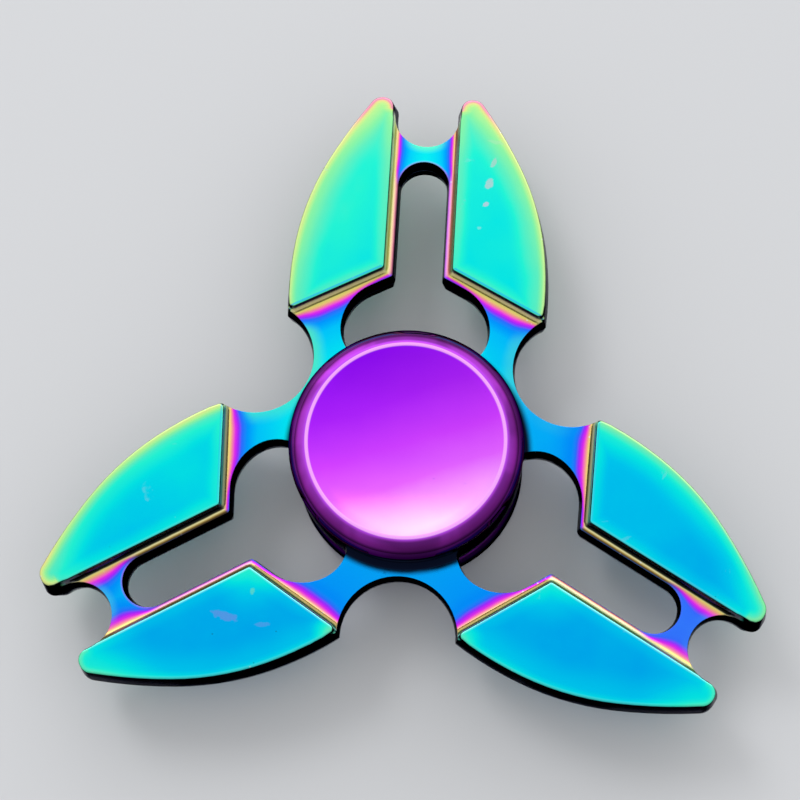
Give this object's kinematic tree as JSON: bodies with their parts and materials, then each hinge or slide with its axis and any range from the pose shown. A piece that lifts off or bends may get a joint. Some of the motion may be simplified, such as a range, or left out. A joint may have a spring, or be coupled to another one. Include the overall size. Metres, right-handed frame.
{
  "type": "fidget spinner",
  "caption": "Hand-held fidget spinner with claw-shaped arms that turn freely on a ball bearing between a dished finger cap above and one below.",
  "frame": {"origin": "on the spin axis, in the middle plane of the body casting and of the bearing", "axes": "+Z along the spin axis through the top finger cap; +Y along the first claw, the other two claws at 120 degrees either side"},
  "size_m": [0.0718, 0.0628, 0.0138],
  "materials": {
    "rainbow_zinc": "glossy rainbow film on die-cast zinc, turquoise faces with gold and magenta at the steps",
    "violet_cap": "mirror-polished turned aluminium with a violet film",
    "bearing_steel": "ground bearing steel",
    "cage_steel": "satin spring steel",
    "shield_steel": "pressed bright steel",
    "ball_steel": "polished steel balls"
  },
  "bodies": {
    "root": {"bottom_finger_cap": "violet_cap", "top_finger_cap": "violet_cap", "bearing_inner_ring": "bearing_steel"},
    "rotor": {"spinner_body": "rainbow_zinc", "bearing_outer_ring": "bearing_steel", "bearing_shield_top": "shield_steel", "bearing_shield_bottom": "shield_steel", "shield_snap_ring_top": "cage_steel", "shield_snap_ring_bottom": "cage_steel"},
    "cage": {"bearing_cage": "cage_steel"},
    "ball_01": {"bearing_ball_01": "ball_steel"},
    "ball_02": {"bearing_ball_02": "ball_steel"},
    "ball_03": {"bearing_ball_03": "ball_steel"},
    "ball_04": {"bearing_ball_04": "ball_steel"},
    "ball_05": {"bearing_ball_05": "ball_steel"},
    "ball_06": {"bearing_ball_06": "ball_steel"},
    "ball_07": {"bearing_ball_07": "ball_steel"},
    "ball_08": {"bearing_ball_08": "ball_steel"},
    "ball_09": {"bearing_ball_09": "ball_steel"},
    "ball_10": {"bearing_ball_10": "ball_steel"}
  },
  "joints": [
    {"name": "rotor_spin", "type": "hinge", "parent": "root", "child": "rotor", "pos_m": [0, 0, 0], "axis": [0, 0, 1], "continuous": true},
    {"name": "cage_spin", "type": "hinge", "parent": "root", "child": "cage", "pos_m": [0, 0, 0], "axis": [0, 0, 1], "continuous": true},
    {"name": "ball_01_spin", "type": "hinge", "parent": "cage", "child": "ball_01", "pos_m": [0.00476, 0, 0], "axis": [0, 0, 1], "continuous": true},
    {"name": "ball_02_spin", "type": "hinge", "parent": "cage", "child": "ball_02", "pos_m": [0.00385, 0.0028, 0], "axis": [0, 0, 1], "continuous": true},
    {"name": "ball_03_spin", "type": "hinge", "parent": "cage", "child": "ball_03", "pos_m": [0.00147, 0.00453, 0], "axis": [0, 0, 1], "continuous": true},
    {"name": "ball_04_spin", "type": "hinge", "parent": "cage", "child": "ball_04", "pos_m": [-0.00147, 0.00453, 0], "axis": [0, 0, 1], "continuous": true},
    {"name": "ball_05_spin", "type": "hinge", "parent": "cage", "child": "ball_05", "pos_m": [-0.00385, 0.0028, 0], "axis": [0, 0, 1], "continuous": true},
    {"name": "ball_06_spin", "type": "hinge", "parent": "cage", "child": "ball_06", "pos_m": [-0.00476, 0, 0], "axis": [0, 0, 1], "continuous": true},
    {"name": "ball_07_spin", "type": "hinge", "parent": "cage", "child": "ball_07", "pos_m": [-0.00385, -0.0028, 0], "axis": [0, 0, 1], "continuous": true},
    {"name": "ball_08_spin", "type": "hinge", "parent": "cage", "child": "ball_08", "pos_m": [-0.00147, -0.00453, 0], "axis": [0, 0, 1], "continuous": true},
    {"name": "ball_09_spin", "type": "hinge", "parent": "cage", "child": "ball_09", "pos_m": [0.00147, -0.00453, 0], "axis": [0, 0, 1], "continuous": true},
    {"name": "ball_10_spin", "type": "hinge", "parent": "cage", "child": "ball_10", "pos_m": [0.00385, -0.0028, 0], "axis": [0, 0, 1], "continuous": true}
  ],
  "couplings": [
    {"joint": "cage_spin", "follows": "rotor_spin", "ratio": 0.60499},
    {"joint": "ball_01_spin", "follows": "rotor_spin", "ratio": 2.2763},
    {"joint": "ball_02_spin", "follows": "rotor_spin", "ratio": 2.2763},
    {"joint": "ball_03_spin", "follows": "rotor_spin", "ratio": 2.2763},
    {"joint": "ball_04_spin", "follows": "rotor_spin", "ratio": 2.2763},
    {"joint": "ball_05_spin", "follows": "rotor_spin", "ratio": 2.2763},
    {"joint": "ball_06_spin", "follows": "rotor_spin", "ratio": 2.2763},
    {"joint": "ball_07_spin", "follows": "rotor_spin", "ratio": 2.2763},
    {"joint": "ball_08_spin", "follows": "rotor_spin", "ratio": 2.2763},
    {"joint": "ball_09_spin", "follows": "rotor_spin", "ratio": 2.2763},
    {"joint": "ball_10_spin", "follows": "rotor_spin", "ratio": 2.2763}
  ]
}
